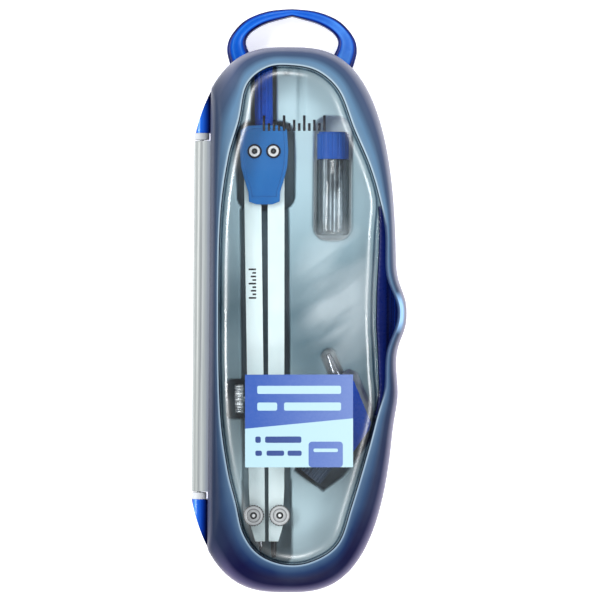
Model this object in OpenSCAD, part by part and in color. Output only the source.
// Drafting instrument case with a metal compass, a tube of spare leads and a pen adapter.
// The case lies on its back: X across it, Y towards the carrying loop, Z up through the window.

/* [Case] */
// Length of the oval body, without the carrying loop
case_l = 190.4; // [188:0.2:193]
// Width of the oval before its hinge side is cut straight
case_w = 75.8; // [75:0.2:77]
// Squareness of the oval: 2 is an ellipse, more is squarer
case_square = 2.9; // [2.7:0.1:3.1]
// Height of the closed case
case_h = 24; // [24:0.1:25]
// Height of the plane where the base meets the lid
split_z = 12.15; // [12.1:0.05:12.3]
// Gap between the base and the lid at that plane
split_gap = 0.3; // [0.3:0.05:0.5]
// Thickness of the base's walls
base_wall = 1.8; // [1.6:0.1:2]
// Thickness of the lid frame's walls
lid_wall = 2; // [1.8:0.1:2.1]
// How far the thumb tab swells beyond the oval
thumb_bulge = 3.7; // [3:0.1:4]
// Place of the thumb tab along the case
thumb_y = -4.5; // [-6:0.5:-3]

/* [Carrying loop] */
// How far the loop stands out beyond the oval
loop_out = 13.8; // [13.5:0.1:14.5]
// Width of the loop outside
loop_w = 45.6; // [44:0.2:47]
// Lowest height of the loop
loop_z = 3; // [2:0.5:4]
// Thickness of the loop
loop_h = 7; // [6:0.5:8]

/* [Window] */
// Width of the finger channel beside the window
channel_w = 1.9; // [1.7:0.1:2]
// How much wider the channel is behind the thumb tab
channel_bulge = 5; // [4.6:0.1:5]
// Thickness of the window sheet
window_t = 1; // [0.9:0.1:1.1]

/* [Hinge] */
// Distance of the hinge line from the middle of the oval
hinge_out = 30.5; // [30.3:0.1:30.7]
// Radius of the knuckles and the barrel
knuckle_r = 2.7; // [2.6:0.05:2.75]
// Length of the hinge between the base's knuckles
hinge_l = 128.1; // [127:0.1:129]
// Radius of the steel pin
pin_r = 0.8; // [0.7:0.05:0.9]

/* [Tray] */
// Height of the tray's top face
tray_top = 11; // [10.8:0.1:11.2]
// Thickness of the formed tray sheet
tray_sheet = 1.2; // [1:0.1:1.3]

/* [Compass] */
// Turn of the compass in its recess, in degrees
compass_turn = 0.87; // [0.7:0.01:1]
// Height of the compass's middle plane
compass_z = 9.2; // [9.1:0.05:9.3]
// Half the distance between the two leg pivots
pivot_half = 3.3; // [3.3:0.01:3.32]
// Thickness of a leg
leg_t = 5.4; // [5.2:0.1:5.4]
// Thickness of the head, both covers together
head_t = 9.4; // [9.3:0.1:9.4]
// Radius of a knurled thumb screw at the end of a leg
thumb_screw_r = 3.75; // [3.5:0.05:3.8]
// Radius of the knurled screw that clamps the exchangeable point
clamp_screw_r = 5; // [4.6:0.1:5]

/* [Lead tube] */
// Radius of the clear tube
tube_r = 5.8; // [5.6:0.1:5.8]
// Length of the clear tube below its cap
tube_l = 26.5; // [25:0.5:27]
// Radius of the cap
cap_r = 5.6; // [5.5:0.05:5.7]
// Length of the cap
cap_l = 9.5; // [9:0.1:9.8]
// Radius of a lead
lead_r = 1; // [0.9:0.05:1]

/* [Adapter] */
// Turn of the adapter in its recess, in degrees
adapter_turn = 22.5; // [22:0.1:23]
// Thickness of the adapter's body
adapter_t = 9; // [8.8:0.1:9.2]

/* [Label] */
// Width of the label across the case
label_w = 37.5; // [36:0.5:38]
// Length of the label along the case
label_l = 32.2; // [31:0.2:33]
// Thickness of the label
label_t = 0.15; // [0.12:0.01:0.2]

/* [Hidden] */
$fn = 48;

sides = 96;                 // points round the outline of the base and the tray
side_bias = 0.6;            // crowds those points where the oval is long and straight
fit = 0.1;                  // running clearance of turning and sliding fits
rest_gap = 0.3;             // air under and around the loose contents
cut = 1;                    // how far a cutter passes a face

oval_x = (hinge_out + knuckle_r - case_w / 2 - thumb_bulge) / 2;
oval_y = -loop_out / 2;
hinge_x = oval_x - hinge_out;
hinge_z = split_z;
lid_left = hinge_x + 3.1;
base_left = hinge_x + 2.9;
hinge_mid_y = oval_y + 1;
collar_l = 2.4;
barrel_l = hinge_l - 2 * collar_l - 2 * rest_gap;
pin_l = hinge_l + 8;
base_top = split_z - split_gap / 2;
lid_foot = split_z + split_gap / 2;
shelf_top = 14.5;
tray_foot = 2.4;
skirt_foot = 4.7;

compass_x = -12.9;
compass_y = 51.95;
leg_top = compass_z + leg_t / 2;
pivot_r = 1.5;
nut_r = 2.6;
nut_h = 1.2;
nut_top = compass_z - head_t / 2 + 1.3;
grip_r = 3.15;
grip_y = 9.3;
grip_l = 21;
spigot_r = 2;
gear_teeth = 12;
gear_root = 2.9;
gear_tip = 3.6;
leg_knee_y = -118.4;
leg_tip_y = -136.6;
thumb_screw_x = 4.6;
thumb_screw_y = -127.4;
thumb_shank_r = 0.9;
clamp_shank_r = 1.15;
clamp_screw_x = 7.9;
clamp_screw_y = -86.7;
socket_y = -97;
tang_x = 3.6;
tang_r = 1.7;
tang_l = 13;
point_x = 2.3;
needle_r = 0.8;

tube_x = 11.3;
tube_y = 22.7;
tube_z = 10.3;
tube_bore = 4.2;
neck_l = 5.6;
neck_r = 4.8;
lead_l = 27;

adapter_x = 14;
adapter_y = -45;
adapter_z = 10.7;
stem_x = 6.4;
stem_r = 2.1;
pen_r = 3.7;

blue = [0.05, 0.25, 0.72];
frost = [0.42, 0.52, 0.66];
grey = [0.62, 0.71, 0.74];
steel = [0.78, 0.80, 0.82];
dark = [0.12, 0.12, 0.14];
clear = [0.8, 0.9, 0.95, 0.35];

// ---- Outlines and lofts ----

// A bump of height 1 at c that fades over the length w; a higher p makes it flatter on top
function bell(v, c, w, p) = exp(-pow(abs(v - c) / w, p));

// How far the vector v reaches from the middle of a unit superellipse, as a factor to its edge
function reach(v) = pow(pow(abs(v.x), case_square) + pow(abs(v.y), case_square), -1 / case_square);

// Point of the case's oval in the direction v, kept right of the line x = left
function oval_to(v, inset, left) =
    let (u = v * reach(v))
    [max(oval_x + (case_w / 2 - inset) * u.x, left + inset),
     oval_y + (case_l / 2 - inset) * u.y];

function base_ring(inset, left) =
    [for (t = angles) oval_to([cos(t), side_bias * sin(t)], inset, left)];

function blend(a, b, s) = a * (1 - s) + b * s;

function ring_z(points, z) = [for (p = points) [p.x, p.y, z]];

// A solid through a list of rings: closed on itself as a band, or capped at both ends
module loft(rings, band = false) {
    n = len(rings[0]);
    m = len(rings);
    last = band ? m - 1 : m - 2;
    walls = [for (i = [0:last]) for (j = [0:n - 1])
        let (a = i * n + j, b = i * n + (j + 1) % n,
             c = ((i + 1) % m) * n + (j + 1) % n, d = ((i + 1) % m) * n + j)
        each [[a, b, c], [a, c, d]]];
    caps = band ? [] : [[for (j = [n - 1:-1:0]) j], [for (j = [0:n - 1]) (m - 1) * n + j]];
    polyhedron([for (r = rings) each r], concat(walls, caps));
}

angles = [for (i = [0:sides - 1]) 360 * i / sides];

// A smooth closed curve through a few points
function smooth(points, steps = 6) =
    let (n = len(points))
    [for (i = [0:n - 1]) for (k = [0:steps - 1])
        let (t = k / steps, a = points[(i + n - 1) % n], b = points[i],
             c = points[(i + 1) % n], d = points[(i + 2) % n])
        ((2 * b) + (c - a) * t + (2 * a - 5 * b + 4 * c - d) * t * t
            + (3 * b - a - 3 * c + d) * t * t * t) / 2];

// The points of a right half, and the same points mirrored to the left
function mirrored(half) =
    concat(half, [for (i = [len(half) - 1:-1:0]) if (half[i].x > 0) [-half[i].x, half[i].y]]);

// Where the frame meets the window: a smooth curve that starts beside the thumb tab
window_points = [
    [27.2, -4], [27.3, 4], [27.7, 13], [27.9, 24], [27.2, 35], [23.8, 46.7], [18.2, 59.6],
    [13, 72.5], [5.5, 79.3], [-3.6, 81.3], [-12, 80.4], [-18.8, 74.4], [-21.4, 62.2], [-25, 49],
    [-27.6, 28], [-28, -5], [-27.2, -38], [-24.6, -58], [-21.5, -70.5], [-18.9, -81],
    [-13.6, -88.2], [-5, -91.7], [4.5, -90.8], [13.7, -84.6], [18.4, -71.5], [24.8, -49],
    [28, -34], [28, -24], [27.6, -15], [27.2, -9]
];
window_curve = smooth(window_points, 3);

function outward(points, j) =
    let (n = len(points), d = points[(j + 1) % n] - points[(j + n - 1) % n])
    [d.y, -d.x] / norm(d);

function window_ring(inset) =
    [for (j = [0:len(window_curve) - 1]) window_curve[j] - inset * outward(window_curve, j)];

// The frame's opening is the window's outline, and a finger channel on its right
function channel_ring() =
    [for (p = window_curve) [p.x + (p.x < 0 ? 0
        : channel_w * bell(p.y, -2, 33, 8) + channel_bulge * bell(p.y, thumb_y, 10, 2.3)), p.y]];

// The pane's edge reaches under the frame by 1.2, except along the finger channel
function pane_ring(inset) =
    [for (p = window_ring(inset - 1.2)) [p.x - (p.x < 0 ? 0 : 1.6 * bell(p.y, -2, 33, 8)), p.y]];

// The lid's outline is the oval, with the thumb tab and a low finger swell on its right
function lid_ring(inset) =
    [for (w = window_curve)
        let (v = [(w.x - oval_x) / case_w, (w.y - oval_y) / case_l], p = oval_to(v, inset, lid_left))
        [p.x + (p.x < 0 ? 0
            : thumb_bulge * bell(p.y, thumb_y, 10, 2.6) + 1.1 * bell(p.y, -33, 8, 2)), p.y]];

module box(low, high) {
    translate(low) cube(high - low);
}

// A cylinder along +Y from y to y + l
module rod_y(r, l, y = 0) {
    translate([0, y, 0]) rotate([-90, 0, 0]) cylinder(r = r, h = l);
}

module plate(z, h) {
    translate([0, 0, z]) linear_extrude(h) children();
}

// ---- Case ----

module base_oval(inset) {
    polygon(base_ring(inset, base_left));
}

base_profile = [        // inset, height: from the floor inside, over the rim, to the underside
    [5.2, 1.6], [2.7, 3.2], [0.3 + base_wall, 6], [0.3 + base_wall, base_top],
    [0.3, base_top], [0.3, 5.5], [1.5, 1.9], [4.4, 0]
];

module base_tub() {
    loft([for (p = base_profile) ring_z(base_ring(p[0], base_left), p[1])]);
}

// The corner of the oval beside the hinge, which holds one end of the pin
module knuckle(side) {
    low_y = side > 0 ? hinge_mid_y + hinge_l / 2 : -case_l;
    high_y = side > 0 ? case_l : hinge_mid_y - hinge_l / 2;
    difference() {
        intersection() {
            plate(3, hinge_z + knuckle_r - 3)
                polygon(base_ring(0.3, hinge_x - knuckle_r - 0.3));
            union() {
                box([hinge_x - knuckle_r, low_y, 3], [base_left + 1, high_y, hinge_z - 0.2]);
                translate([hinge_x, low_y, hinge_z]) rod_y(knuckle_r, high_y - low_y);
            }
        }
        translate([hinge_x, hinge_mid_y - pin_l / 2, hinge_z]) rod_y(pin_r + 0.02, pin_l);
    }
}

loop_half = [
    [0, loop_out], [8.6, 12.9], [16.4, 9.7], [21.4, 4.3], [loop_w / 2, -0.6], [21, -6.4],
    [18, -10], [9, -11]
];
grip_half = [
    [0, 11.4], [2.4, 10.7], [9, 8.8], [13.8, 6], [16, 3.2], [15.9, 0.4], [13.4, -3.6], [8, -6]
];

// The carrying loop, moulded in one with the base
module carrying_loop() {
    plate(loop_z, loop_h) difference() {
        translate([oval_x + 0.8, oval_y + case_l / 2]) difference() {
            polygon(smooth(mirrored(loop_half)));
            polygon(smooth(mirrored(grip_half)));
        }
        base_oval(1);
    }
}

// Plan of the shelf behind the finger channel, grown by a clearance
module shelf_plan(grow) {
    difference() {
        translate([0, -40 - grow]) square([60, 73 + 2 * grow]);
        polygon(window_ring(2.2 + grow));
    }
}

// The base swells with the lid under the thumb tab, so the finger channel has a floor there
module thumb_lip() {
    plate(6, base_top - 6) difference() {
        intersection() {
            polygon(lid_ring(0.3));
            translate([20, thumb_y - 18]) square([40, 36]);
        }
        base_oval(1);
    }
}

module base_shell() {
    color(blue) {
        base_tub();
        thumb_lip();
        knuckle(1);
        knuckle(-1);
        carrying_loop();
        // the shelf stands on the floor, and its lower part joins the wall
        for (step = [[1.2, shelf_top, 3.2], [3.2, base_top, 1.2]])
            plate(step[0], step[1] - step[0]) intersection() {
                shelf_plan(0);
                base_oval(step[2]);
            }
    }
}

module hinge_pin() {
    color(steel) translate([hinge_x, hinge_mid_y - pin_l / 2, hinge_z]) rod_y(pin_r, pin_l);
}

module hinge_collars() {
    color("white") for (y = [hinge_mid_y - hinge_l / 2, hinge_mid_y + hinge_l / 2 - collar_l])
        translate([hinge_x, y, hinge_z]) difference() {
            rod_y(knuckle_r - 0.1, collar_l);
            rod_y(pin_r + 0.02, collar_l + 2 * cut, -cut);
        }
}

// The frame's section, from its foot inside, along the opening, and over the crown to its foot:
// share of the way from the outer outline to the opening, inset of the outer outline, height
frame_profile = [
    [0, lid_wall, lid_foot], [0, lid_wall, 20], [0.12, lid_wall, 21.5], [1, 0, 21.5],
    [1, 0, case_h - 0.7], [0.85, 0, case_h - 0.4], [0.55, 0.5, 23.3], [0.22, 0.9, 22.2],
    [0, 0.8, 20], [0, 0, 17], [0, 0, 13.6], [0, 0.5, lid_foot]
];

function frame_ring(s, inset, z) =
    let (outer = lid_ring(inset), inner = channel_ring())
    ring_z([for (j = [0:len(outer) - 1]) blend(outer[j], inner[j], s)], z);

module lid_frame() {
    low_end = hinge_mid_y - barrel_l / 2;
    high_end = hinge_mid_y + barrel_l / 2;
    color(frost) difference() {
        union() {
            loft([for (p = frame_profile) frame_ring(p[0], p[1], p[2])], band = true);
            translate([hinge_x, low_end, hinge_z]) rod_y(knuckle_r, barrel_l);
            box([hinge_x, low_end, hinge_z + 0.8], [lid_left + 1, high_end, hinge_z + knuckle_r]);
        }
        translate([hinge_x, -case_l, hinge_z]) rod_y(pin_r + fit, 2 * case_l);
    }
}

// Inset from the pane's edge and height, from the ceiling inside, under the flange, to the top
pane_profile = [
    [4.4, case_h - window_t], [2.5, 22.3], [2.4, 20.5], [0, 20.5], [0, 21.45],
    [1.3, 21.45], [1.4, 22.9], [2.6, 23.7], [4.4, case_h]
];

module lid_window() {
    color(clear) loft([for (p = pane_profile) ring_z(pane_ring(p[0]), p[1])]);
}

module label_sticker() {
    color([0.35, 0.5, 0.85]) translate([0.1, -42, case_h]) rotate([0, 0, 0.5])
        linear_extrude(label_t) square([label_w, label_l], center = true);
}

// ---- Places of the contents ----

module at_compass() {
    translate([compass_x, compass_y, 0]) rotate([0, 0, compass_turn]) children();
}

module at_tube() {
    translate([tube_x, tube_y, tube_z]) children();
}

module at_adapter() {
    translate([adapter_x, adapter_y, 0]) rotate([0, 0, adapter_turn]) children();
}

// ---- Tray ----

module rounded(low, high, r) {
    offset(r = r) translate([low.x + r, low.y + r])
        square([high.x - low.x - 2 * r, high.y - low.y - 2 * r]);
}

// Recesses: each is cut down to its floor, and is grown by the sheet for the tray's underside
module pocket(floor_z, grow) {
    plate(floor_z - grow, case_h) offset(delta = grow) children();
}

module compass_pockets(grow) {
    at_compass() {
        pocket(4.2, grow) rounded([-9.8, -21], [10.8, 10.6], 5);
        pocket(5.6, grow) rounded([-4.8, 8], [4.8, 32.6], 2);
        pocket(6.2, grow) {
            rounded([-8.1, -130], [8.1, -18], 3);
            rounded([-10, -145], [10, -112], 4);
        }
        pocket(3.6, grow) rounded([-13.6, -93.4], [-7, -80], 1.5);
    }
}

module tube_pocket(grow) {
    pocket(4.2, grow) rounded([tube_x - 7, tube_y - 2.4], [tube_x + 7, tube_y + 42], 5);
}

adapter_pocket = [
    [-7.5, 17.5], [11, 17.5], [13.2, 15.5], [13.2, -3.6], [11, -6], [2, -12], [-5, -16],
    [-13, -18], [-19.4, -7.6], [-8.6, -1.5]
];

module adapter_pocket_cut(grow) {
    at_adapter() {
        pocket(5.9, grow) polygon(adapter_pocket);
        pocket(8.2, grow) rounded([3.4, 16], [9.4, 28], 2.8);
    }
}

module all_pockets(grow) {
    compass_pockets(grow);
    tube_pocket(grow);
    adapter_pocket_cut(grow);
}

module tray_plan(inset) {
    difference() {
        base_oval(0.3 + base_wall + inset);
        shelf_plan(inset);
    }
}

module tray_insert() {
    color(grey) difference() {
        union() {
            plate(skirt_foot, tray_top - skirt_foot) tray_plan(0.3);
            plate(tray_foot, skirt_foot - tray_foot + 0.1) tray_plan(2);
        }
        all_pockets(0);
        // the hollow underside of the formed sheet
        difference() {
            plate(0, tray_top - tray_sheet) tray_plan(0.3 + tray_sheet);
            all_pockets(tray_sheet);
        }
    }
}

// ---- Compass ----

// Right half of the head's outline, from its crown down to its tongue
head_half = [
    [0, 9.2], [5.6, 8.9], [8.1, 7.4], [8.5, 0], [8.1, -5.4], [6.9, -10], [5.6, -14.2], [5.4, -17.6],
    [2.8, -18.6]
];

module head_outline(inset = 0) {
    offset(delta = -inset) polygon(mirrored(head_half));
}

// Room inside the head for the legs: closed round the top, open at both sides below
module head_room() {
    offset(delta = -1.1) intersection() {
        polygon(mirrored(head_half));
        translate([-20, -5.5]) square([40, 30]);
    }
    translate([-20, -30]) square([40, 25.6]);
}

module head_holes(r) {
    for (x = [-pivot_half, pivot_half])
        translate([x, 0, 0]) cylinder(r = r, h = case_h);
}

// One cover: a plate over the legs, and half of the wall round their top ends
module head_cover() {
    plate_z = leg_top + rest_gap;
    top_z = compass_z + head_t / 2;
    difference() {
        plate(compass_z + 0.05, top_z - compass_z - 0.05) head_outline();
        plate(compass_z - cut, plate_z - compass_z + cut) head_room();
        head_holes(pivot_r);
        translate([0, 0, compass_z]) rod_y(spigot_r, grip_y);
        plate(top_z - 0.5, case_h) difference() {
            head_outline(1.1);
            translate([-20, -40]) square([40, 24]);
        }
    }
}

module compass_head_front() {
    color(blue) at_compass() difference() {
        head_cover();
        translate([0, 0, compass_z + head_t / 2 - 0.8]) head_holes(2.5);
    }
}

module compass_head_back() {
    color(blue) at_compass() difference() {
        translate([0, 0, 2 * compass_z]) mirror([0, 0, 1]) head_cover();
        for (x = [-pivot_half, pivot_half])
            translate([x, 0, 0]) cylinder(r = nut_r + 0.15, h = nut_top, $fn = 6);
    }
}

// Screws through the covers, which the legs turn on
module head_screws() {
    head_z = compass_z + head_t / 2 - 0.8;
    color(steel) at_compass() for (x = [-pivot_half, pivot_half])
        translate([x, 0, 0]) difference() {
            union() {
                translate([0, 0, nut_top - nut_h])
                    cylinder(r = pivot_r, h = head_z - nut_top + nut_h);
                translate([0, 0, head_z]) cylinder(r = 2, h = 1.1);
            }
            translate([0, 0, head_z + 0.4]) cylinder(r = 1, h = 2, $fn = 6);
        }
}

module head_nuts() {
    color(steel) at_compass() for (x = [-pivot_half, pivot_half])
        translate([x, 0, nut_top - nut_h]) difference() {
            cylinder(r = nut_r, h = nut_h, $fn = 6);
            translate([0, 0, -cut]) cylinder(r = pivot_r, h = nut_h + 2 * cut);
        }
}

// The fluted finger grip above the head, with a row of dimples along its front
module compass_grip() {
    color(blue) at_compass() translate([0, 0, compass_z]) difference() {
        union() {
            rod_y(grip_r, grip_l, grip_y);
            rod_y(grip_r - 0.5, grip_l + 0.8, grip_y);
            rod_y(spigot_r, 2, grip_y - 1.1);
        }
        for (a = [22.5:45:360]) rotate([0, a, 0]) translate([0, 0, grip_r + 0.35])
            rod_y(0.75, grip_l, grip_y + 2);
        for (i = [0:3]) translate([0, grip_y + 3.2 + 4.9 * i, grip_r - 0.4]) cylinder(r = 0.7, h = 2);
    }
}

// Gear teeth of one leg's end, turned by phase so that the two ends mesh
function gear_points(phase) =
    [for (i = [0:gear_teeth - 1])
        for (c = [[-7.5, gear_root], [-4, gear_tip], [4, gear_tip], [7.5, gear_root]])
            let (a = phase + i * 360 / gear_teeth + c[0]) c[1] * [cos(a), sin(a)]];

module leg_plate() {
    plate(compass_z - leg_t / 2, leg_t) children();
}

// Half outline of a leg to the right of the compass's middle line, down to the length y_end
function leg_points(y_end) =
    let (s = (y_end + 4) / (leg_knee_y + 4))
    [[1.2, -4], [2.4, -1.9], [5.2, -1.2], [6, -2.8], [7.1, -6],
     [blend(7.1, 6.2, s), y_end], [blend(1.2, 0.55, s), y_end]];

module leg_bar(phase, y_end) {
    translate([pivot_half, 0, 0]) leg_plate() polygon(gear_points(phase));
    leg_plate() polygon(leg_points(y_end));
}

// The lower end of a leg, tapering to its point
module leg_end(y_start) {
    s = (y_start + 4) / (leg_knee_y + 4);
    leg_plate() polygon([
        [blend(1.2, 0.55, s), y_start], [blend(7.1, 6.2, s), y_start],
        [6.2, leg_knee_y], [5.5, -131.7], [4, leg_tip_y], [0.65, leg_tip_y]
    ]);
    translate([thumb_screw_x, thumb_screw_y, 0]) leg_plate() circle(2);
}

module thumb_hole() {
    translate([thumb_screw_x, thumb_screw_y, 0]) cylinder(r = thumb_shank_r + fit, h = case_h);
}

module pivot_bore() {
    translate([pivot_half, 0, 0]) cylinder(r = pivot_r + 0.08, h = case_h);
}

module leg_right() {
    color(steel) at_compass() difference() {
        union() {
            leg_bar(0, leg_knee_y);
            leg_end(leg_knee_y);
        }
        pivot_bore();
        thumb_hole();
        translate([point_x, 0, compass_z]) rod_y(lead_r, -thumb_screw_y + 20, leg_tip_y - cut);
    }
}

// The left leg ends in a socket, which takes the tang of the point insert or of the adapter
module leg_left() {
    color(steel) at_compass() mirror([1, 0, 0]) difference() {
        leg_bar(180 + 180 / gear_teeth, socket_y);
        pivot_bore();
        translate([tang_x, 0, compass_z]) rod_y(tang_r + 0.03, tang_l + 0.6 + cut, socket_y - cut);
        translate([tang_x, clamp_screw_y, compass_z]) rotate([0, 90, 0])
            cylinder(r = clamp_shank_r + fit, h = 10);
    }
}

// The exchangeable lower end of the left leg, which holds the needle
module point_insert() {
    color(steel) at_compass() mirror([1, 0, 0]) difference() {
        union() {
            leg_end(socket_y - 0.05);
            translate([tang_x, 0, compass_z]) rod_y(tang_r, tang_l + 1, socket_y - 1);
        }
        thumb_hole();
        translate([point_x, 0, compass_z]) rod_y(needle_r, -leg_tip_y, leg_tip_y - cut);
    }
}

// A knurled disc with stepped rings and a dark collar on a plain shank, pointing along +Z
module knurled_screw(r, h, shank_r, shank_l) {
    difference() {
        cylinder(r = r, h = h);
        for (i = [0:23]) rotate(i * 15) translate([r + 0.22, 0, -cut]) cylinder(r = 0.45, h = h + 2 * cut);
        translate([0, 0, h - 0.35]) difference() {
            cylinder(r = r * 0.68, h = 1);
            translate([0, 0, -cut]) cylinder(r = r * 0.4, h = 3);
        }
        translate([0, 0, h - 0.6]) difference() {
            cylinder(r = r * 0.33, h = 1);
            translate([0, 0, -cut]) cylinder(r = r * 0.15, h = 3);
        }
    }
    translate([0, 0, -shank_l]) cylinder(r = shank_r, h = shank_l + 0.1);
}

module thumb_screw(side) {
    color(steel) at_compass() translate([side * thumb_screw_x, thumb_screw_y, leg_top + rest_gap])
        knurled_screw(thumb_screw_r, 2.6, thumb_shank_r, leg_t - 0.8);
}

module point_thumb_screw() {
    thumb_screw(-1);
}

module lead_thumb_screw() {
    thumb_screw(1);
}

module insert_clamp_screw() {
    color(steel) at_compass() translate([-clamp_screw_x, clamp_screw_y, compass_z]) rotate([0, -90, 0])
        knurled_screw(clamp_screw_r, 3, clamp_shank_r, clamp_screw_x - tang_x - tang_r - fit);
}

// The needle: a plain shank with a shoulder and a fine point
module needle_point() {
    color(steel) at_compass() translate([-point_x, 0, compass_z]) rotate([90, 0, 0])
        rotate_extrude() polygon([
            [0, -leg_tip_y - 8], [needle_r, -leg_tip_y - 8], [needle_r, -leg_tip_y + 1.6],
            [0.5, -leg_tip_y + 3.2], [0.4, -leg_tip_y + 4], [0.08, -leg_tip_y + 5.8],
            [0, -leg_tip_y + 5.8]
        ]);
}

module compass_lead() {
    color(dark) at_compass() translate([point_x, 0, compass_z]) rotate([90, 0, 0])
        rotate_extrude() polygon([
            [0, -leg_tip_y - 14], [lead_r, -leg_tip_y - 14], [lead_r, -leg_tip_y + 3.8],
            [0.7, -leg_tip_y + 5.8], [0, -leg_tip_y + 5.8]
        ]);
}

// ---- Tube of leads ----

module lead_tube() {
    color(clear) at_tube() difference() {
        union() {
            rod_y(tube_r, tube_l);
            rod_y(neck_r, tube_l + neck_l);
        }
        rod_y(tube_bore, tube_l + neck_l, 1);
    }
}

module tube_cap() {
    color(blue) at_tube() difference() {
        union() {
            rod_y(cap_r, cap_l - 0.6, tube_l + 0.2);
            rod_y(cap_r - 0.6, cap_l, tube_l + 0.2);
        }
        rod_y(neck_r + fit, neck_l + 0.6, tube_l);
        for (a = [0:20:359]) rotate([0, a, 0]) translate([0, 0, cap_r + 0.35])
            rod_y(0.55, cap_l, tube_l + 1.2);
    }
}

// Four leads lying side by side in the bottom of the tube
module spare_leads() {
    color(dark) at_tube() for (i = [0:3]) let (a = -150 + 40 * i)
        translate([cos(a) * (tube_bore - lead_r - 0.1), 0, sin(a) * (tube_bore - lead_r - 0.1)])
            rod_y(lead_r, lead_l, 1.2 + 0.6 * (i % 2));
}

// ---- Adapter for a pen ----

adapter_outline = [
    [-6.5, 13.6], [-4.8, 15.3], [9.6, 15.3], [11.2, 13.6], [11.3, -2], [9.7, -4.2], [1.5, -9.4],
    [-6.5, -5]
];

module adapter_body() {
    color(blue) at_adapter() difference() {
        plate(adapter_z - adapter_t / 2, adapter_t) polygon(adapter_outline);
        translate([-0.6, -20, adapter_z]) rod_y(pen_r, 50);
        translate([stem_x, 6, adapter_z]) rod_y(stem_r, 20);
        at_adapter_screw() cylinder(r = 1.5, h = 10);
    }
}

module adapter_stem() {
    color(steel) at_adapter() translate([stem_x, 6, adapter_z]) rotate([-90, 0, 0])
        rotate_extrude() polygon([
            [0, 0], [stem_r, 0], [stem_r, 12.4], [0.9, 19.4], [0.4, 19.8], [0, 19.8]
        ]);
}

// The screw comes in low on the left and presses on the pen
module at_adapter_screw() {
    translate([-7.6, -7.2, adapter_z]) rotate([0, 0, 30]) rotate([0, 90, 0]) children();
}

module adapter_screw() {
    color(dark) at_adapter() at_adapter_screw() {
        translate([0, 0, -9.2]) difference() {
            cylinder(r = 4.4, h = 8.6);
            for (i = [0:17]) rotate(i * 20) translate([4.75, 0, -cut]) cylinder(r = 0.6, h = 12);
            translate([0, 0, -cut]) cylinder(r = 2.6, h = cut + 0.8);
        }
        translate([0, 0, -0.7]) cylinder(r = 1.42, h = 4.2);
    }
}

base_shell();
tray_insert();
lid_frame();
lid_window();
label_sticker();
hinge_pin();
hinge_collars();
compass_head_front();
compass_head_back();
compass_grip();
head_screws();
head_nuts();
leg_left();
leg_right();
point_insert();
insert_clamp_screw();
point_thumb_screw();
lead_thumb_screw();
needle_point();
compass_lead();
lead_tube();
tube_cap();
spare_leads();
adapter_body();
adapter_stem();
adapter_screw();
